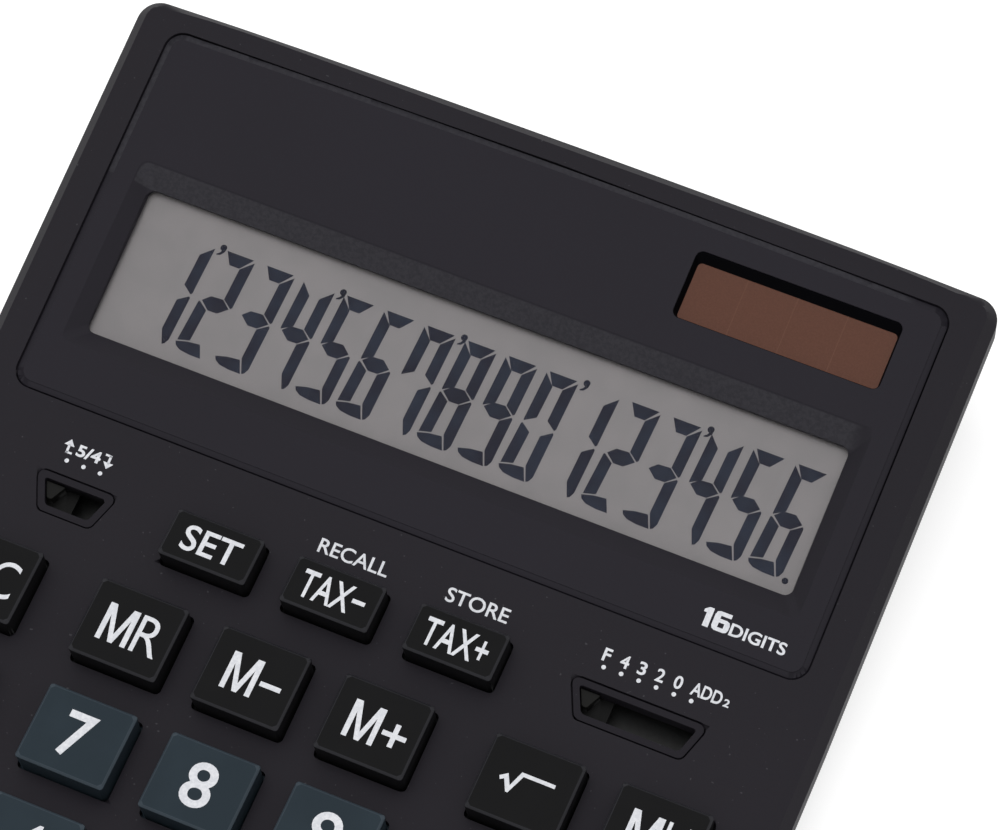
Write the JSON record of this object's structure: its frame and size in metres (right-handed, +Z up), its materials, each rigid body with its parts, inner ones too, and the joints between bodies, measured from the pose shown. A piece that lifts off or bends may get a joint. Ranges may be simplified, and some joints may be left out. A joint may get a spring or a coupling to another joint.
{
  "type": "desktop calculator",
  "caption": "Low wedge-shaped desktop calculator with a tilted display section, a long segment display, a solar cell, slide switches and a grid of sprung keys.",
  "frame": {"origin": "centre of the footprint at the table top, under the feet", "axes": "+Z up, +X to the user's right, +Y away from the user towards the display end"},
  "size_m": [0.155, 0.2013, 0.0355],
  "materials": {
    "case_black": "fine-grained moulded ABS, satin black",
    "panel_black": "fine-grained moulded ABS, satin black",
    "key_black": "smooth satin black",
    "key_slate": "smooth satin blue-grey",
    "window_clear": "clear flat acrylic",
    "lcd_glass": "flat grey display face under a polariser",
    "dark_plastic": "plain moulded plastic",
    "solar_amorphous": "brown amorphous silicon behind glass",
    "ribbon_film": "polyester film ribbon",
    "mat_rubber": "grey silicone rubber",
    "board_laminate": "paper-phenolic laminate",
    "chip_epoxy": "black epoxy cover",
    "screw_steel": "zinc-plated steel",
    "contact_bronze": "sprung phosphor bronze",
    "switch_black": "smooth black",
    "knob_grey": "dark grey moulded knob",
    "cell_can": "nickel-plated steel can",
    "foot_rubber": "black rubber"
  },
  "bodies": {
    "case": {"upper_case": "case_black", "lower_case": "case_black", "display_panel": "panel_black", "display_window": "window_clear", "lcd_module": "lcd_glass", "lcd_holder": "dark_plastic", "lcd_ribbon": "ribbon_film", "solar_cell": "solar_amorphous", "main_board": "board_laminate", "logic_chip": "chip_epoxy", "board_screws": "screw_steel", "case_screws": "screw_steel", "rounding_surround": "switch_black", "rounding_base": "dark_plastic", "decimal_surround": "switch_black", "decimal_base": "dark_plastic", "battery_door": "case_black", "door_screw": "screw_steel", "button_cell": "cell_can", "cell_spring": "contact_bronze", "cell_clip": "contact_bronze", "rubber_feet": "foot_rubber", "key_mat": "mat_rubber"},
    "key_set": {"key_set": "key_black"},
    "key_tax_minus": {"key_tax_minus": "key_black"},
    "key_tax_plus": {"key_tax_plus": "key_black"},
    "key_mc": {"key_mc": "key_black"},
    "key_mr": {"key_mr": "key_black"},
    "key_m_minus": {"key_m_minus": "key_black"},
    "key_m_plus": {"key_m_plus": "key_black"},
    "key_root": {"key_root": "key_black"},
    "key_mu": {"key_mu": "key_black"},
    "key_shift": {"key_shift": "key_black"},
    "key_7": {"key_7": "key_slate"},
    "key_8": {"key_8": "key_slate"},
    "key_9": {"key_9": "key_slate"},
    "key_percent": {"key_percent": "key_black"},
    "key_gt": {"key_gt": "key_black"},
    "key_sign": {"key_sign": "key_black"},
    "key_4": {"key_4": "key_slate"},
    "key_5": {"key_5": "key_slate"},
    "key_6": {"key_6": "key_slate"},
    "key_times": {"key_times": "key_black"},
    "key_divide": {"key_divide": "key_black"},
    "key_c": {"key_c": "key_black"},
    "key_1": {"key_1": "key_slate"},
    "key_2": {"key_2": "key_slate"},
    "key_3": {"key_3": "key_slate"},
    "key_plus": {"key_plus": "key_black"},
    "key_minus": {"key_minus": "key_black"},
    "key_ac": {"key_ac": "key_black"},
    "key_0": {"key_0": "key_slate"},
    "key_00": {"key_00": "key_slate"},
    "key_point": {"key_point": "key_slate"},
    "key_equals": {"key_equals": "key_black"},
    "rounding_switch": {"rounding_knob": "knob_grey", "rounding_wiper": "contact_bronze"},
    "decimal_switch": {"decimal_knob": "knob_grey", "decimal_wiper": "contact_bronze"}
  },
  "joints": [
    {"name": "set_key_press", "type": "slide", "parent": "case", "child": "key_set", "axis": [0, 0.061, -0.9981], "range_m": [0, 0.0016], "stiffness_N_per_m": 350, "deforming": ["key_mat"]},
    {"name": "tax_minus_key_press", "type": "slide", "parent": "case", "child": "key_tax_minus", "axis": [0, 0.061, -0.9981], "range_m": [0, 0.0016], "stiffness_N_per_m": 350, "deforming": ["key_mat"]},
    {"name": "tax_plus_key_press", "type": "slide", "parent": "case", "child": "key_tax_plus", "axis": [0, 0.061, -0.9981], "range_m": [0, 0.0016], "stiffness_N_per_m": 350, "deforming": ["key_mat"]},
    {"name": "mc_key_press", "type": "slide", "parent": "case", "child": "key_mc", "axis": [0, 0.061, -0.9981], "range_m": [0, 0.0016], "stiffness_N_per_m": 350, "deforming": ["key_mat"]},
    {"name": "mr_key_press", "type": "slide", "parent": "case", "child": "key_mr", "axis": [0, 0.061, -0.9981], "range_m": [0, 0.0016], "stiffness_N_per_m": 350, "deforming": ["key_mat"]},
    {"name": "m_minus_key_press", "type": "slide", "parent": "case", "child": "key_m_minus", "axis": [0, 0.061, -0.9981], "range_m": [0, 0.0016], "stiffness_N_per_m": 350, "deforming": ["key_mat"]},
    {"name": "m_plus_key_press", "type": "slide", "parent": "case", "child": "key_m_plus", "axis": [0, 0.061, -0.9981], "range_m": [0, 0.0016], "stiffness_N_per_m": 350, "deforming": ["key_mat"]},
    {"name": "root_key_press", "type": "slide", "parent": "case", "child": "key_root", "axis": [0, 0.061, -0.9981], "range_m": [0, 0.0016], "stiffness_N_per_m": 350, "deforming": ["key_mat"]},
    {"name": "mu_key_press", "type": "slide", "parent": "case", "child": "key_mu", "axis": [0, 0.061, -0.9981], "range_m": [0, 0.0016], "stiffness_N_per_m": 350, "deforming": ["key_mat"]},
    {"name": "shift_key_press", "type": "slide", "parent": "case", "child": "key_shift", "axis": [0, 0.061, -0.9981], "range_m": [0, 0.0016], "stiffness_N_per_m": 350, "deforming": ["key_mat"]},
    {"name": "7_key_press", "type": "slide", "parent": "case", "child": "key_7", "axis": [0, 0.061, -0.9981], "range_m": [0, 0.0016], "stiffness_N_per_m": 350, "deforming": ["key_mat"]},
    {"name": "8_key_press", "type": "slide", "parent": "case", "child": "key_8", "axis": [0, 0.061, -0.9981], "range_m": [0, 0.0016], "stiffness_N_per_m": 350, "deforming": ["key_mat"]},
    {"name": "9_key_press", "type": "slide", "parent": "case", "child": "key_9", "axis": [0, 0.061, -0.9981], "range_m": [0, 0.0016], "stiffness_N_per_m": 350, "deforming": ["key_mat"]},
    {"name": "percent_key_press", "type": "slide", "parent": "case", "child": "key_percent", "axis": [0, 0.061, -0.9981], "range_m": [0, 0.0016], "stiffness_N_per_m": 350, "deforming": ["key_mat"]},
    {"name": "gt_key_press", "type": "slide", "parent": "case", "child": "key_gt", "axis": [0, 0.061, -0.9981], "range_m": [0, 0.0016], "stiffness_N_per_m": 350, "deforming": ["key_mat"]},
    {"name": "sign_key_press", "type": "slide", "parent": "case", "child": "key_sign", "axis": [0, 0.061, -0.9981], "range_m": [0, 0.0016], "stiffness_N_per_m": 350, "deforming": ["key_mat"]},
    {"name": "4_key_press", "type": "slide", "parent": "case", "child": "key_4", "axis": [0, 0.061, -0.9981], "range_m": [0, 0.0016], "stiffness_N_per_m": 350, "deforming": ["key_mat"]},
    {"name": "5_key_press", "type": "slide", "parent": "case", "child": "key_5", "axis": [0, 0.061, -0.9981], "range_m": [0, 0.0016], "stiffness_N_per_m": 350, "deforming": ["key_mat"]},
    {"name": "6_key_press", "type": "slide", "parent": "case", "child": "key_6", "axis": [0, 0.061, -0.9981], "range_m": [0, 0.0016], "stiffness_N_per_m": 350, "deforming": ["key_mat"]},
    {"name": "times_key_press", "type": "slide", "parent": "case", "child": "key_times", "axis": [0, 0.061, -0.9981], "range_m": [0, 0.0016], "stiffness_N_per_m": 350, "deforming": ["key_mat"]},
    {"name": "divide_key_press", "type": "slide", "parent": "case", "child": "key_divide", "axis": [0, 0.061, -0.9981], "range_m": [0, 0.0016], "stiffness_N_per_m": 350, "deforming": ["key_mat"]},
    {"name": "c_key_press", "type": "slide", "parent": "case", "child": "key_c", "axis": [0, 0.061, -0.9981], "range_m": [0, 0.0016], "stiffness_N_per_m": 350, "deforming": ["key_mat"]},
    {"name": "1_key_press", "type": "slide", "parent": "case", "child": "key_1", "axis": [0, 0.061, -0.9981], "range_m": [0, 0.0016], "stiffness_N_per_m": 350, "deforming": ["key_mat"]},
    {"name": "2_key_press", "type": "slide", "parent": "case", "child": "key_2", "axis": [0, 0.061, -0.9981], "range_m": [0, 0.0016], "stiffness_N_per_m": 350, "deforming": ["key_mat"]},
    {"name": "3_key_press", "type": "slide", "parent": "case", "child": "key_3", "axis": [0, 0.061, -0.9981], "range_m": [0, 0.0016], "stiffness_N_per_m": 350, "deforming": ["key_mat"]},
    {"name": "plus_key_press", "type": "slide", "parent": "case", "child": "key_plus", "axis": [0, 0.061, -0.9981], "range_m": [0, 0.0016], "stiffness_N_per_m": 350, "deforming": ["key_mat"]},
    {"name": "minus_key_press", "type": "slide", "parent": "case", "child": "key_minus", "axis": [0, 0.061, -0.9981], "range_m": [0, 0.0016], "stiffness_N_per_m": 350, "deforming": ["key_mat"]},
    {"name": "ac_key_press", "type": "slide", "parent": "case", "child": "key_ac", "axis": [0, 0.061, -0.9981], "range_m": [0, 0.0016], "stiffness_N_per_m": 350, "deforming": ["key_mat"]},
    {"name": "0_key_press", "type": "slide", "parent": "case", "child": "key_0", "axis": [0, 0.061, -0.9981], "range_m": [0, 0.0016], "stiffness_N_per_m": 350, "deforming": ["key_mat"]},
    {"name": "00_key_press", "type": "slide", "parent": "case", "child": "key_00", "axis": [0, 0.061, -0.9981], "range_m": [0, 0.0016], "stiffness_N_per_m": 350, "deforming": ["key_mat"]},
    {"name": "point_key_press", "type": "slide", "parent": "case", "child": "key_point", "axis": [0, 0.061, -0.9981], "range_m": [0, 0.0016], "stiffness_N_per_m": 350, "deforming": ["key_mat"]},
    {"name": "equals_key_press", "type": "slide", "parent": "case", "child": "key_equals", "axis": [0, 0.061, -0.9981], "range_m": [0, 0.0016], "stiffness_N_per_m": 350, "deforming": ["key_mat"]},
    {"name": "rounding_switch_slide", "type": "slide", "parent": "case", "child": "rounding_switch", "axis": [1, 0, 0], "range_m": [0, 0.006]},
    {"name": "decimal_switch_slide", "type": "slide", "parent": "case", "child": "decimal_switch", "axis": [1, 0, 0], "range_m": [0, 0.0155]}
  ]
}
